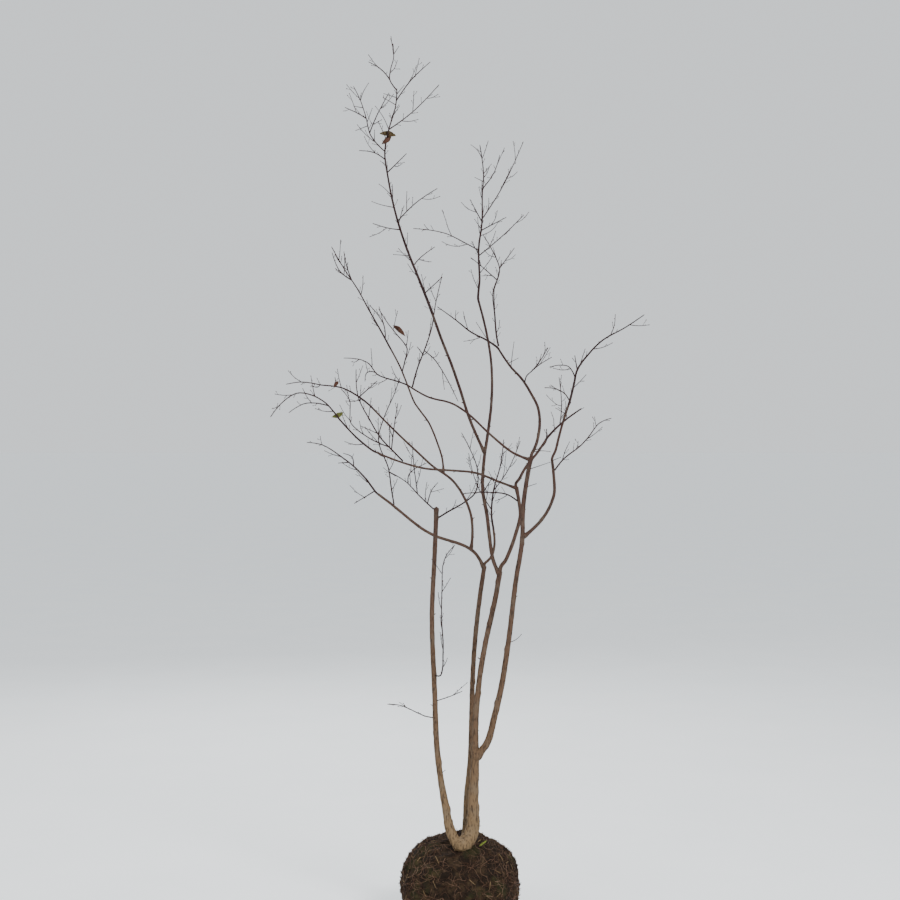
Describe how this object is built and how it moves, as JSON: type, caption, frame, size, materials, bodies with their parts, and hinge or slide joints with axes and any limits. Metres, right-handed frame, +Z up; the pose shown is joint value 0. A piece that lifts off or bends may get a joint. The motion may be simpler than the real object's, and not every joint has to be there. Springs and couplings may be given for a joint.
{
  "type": "bare multi-stemmed blueberry shrub on its root ball",
  "caption": "Leafless multi-stemmed deciduous blueberry shrub with a spreading crown of bare twigs, standing on its soil root ball.",
  "frame": {"origin": "middle of the root ball's flat underside", "axes": "+Z up, the side the picture shows faces -Y, +X to the right of that view"},
  "size_m": [0.8716, 0.6203, 2.1871],
  "materials": {
    "old_bark": "matt, finely fissured",
    "young_bark": "satin, smooth",
    "root_soil": "matt, crumbly"
  },
  "bodies": {
    "root": {"left_stem": "old_bark", "middle_stem": "old_bark", "back_stem": "old_bark", "right_stem": "old_bark", "right_bough": "old_bark", "right_bough_upper": "old_bark", "inner_bough": "old_bark", "inner_bough_upper": "old_bark", "long_left_bough": "old_bark", "low_left_bough": "old_bark", "arching_bough": "old_bark", "arching_bough_upper": "old_bark", "left_leader": "old_bark", "middle_leader": "old_bark", "tallest_leader": "old_bark", "right_leader": "old_bark", "crossing_bough": "old_bark", "back_bough": "old_bark", "root_collar": "old_bark", "right_tip_twigs": "young_bark", "right_side_twigs": "young_bark", "cut_bough_twigs": "young_bark", "long_left_twigs": "young_bark", "long_left_rising_twigs": "young_bark", "low_left_twigs": "young_bark", "low_left_rising_twigs": "young_bark", "arching_twigs": "young_bark", "left_leader_twigs": "young_bark", "left_leader_side_twigs": "young_bark", "middle_leader_twigs": "young_bark", "tallest_leader_twigs": "young_bark", "right_leader_twigs": "young_bark", "right_leader_rising_twigs": "young_bark", "right_leader_side_twigs": "young_bark", "crossing_twigs": "young_bark", "crossing_rising_twigs": "young_bark", "knob_left_twigs": "young_bark", "knob_right_twigs": "young_bark", "inner_twigs": "young_bark", "back_twigs": "young_bark", "left_stem_low_twigs": "young_bark", "left_stem_right_twigs": "young_bark", "left_stem_shoot": "young_bark", "root_ball": "root_soil"}
  },
  "joints": []
}
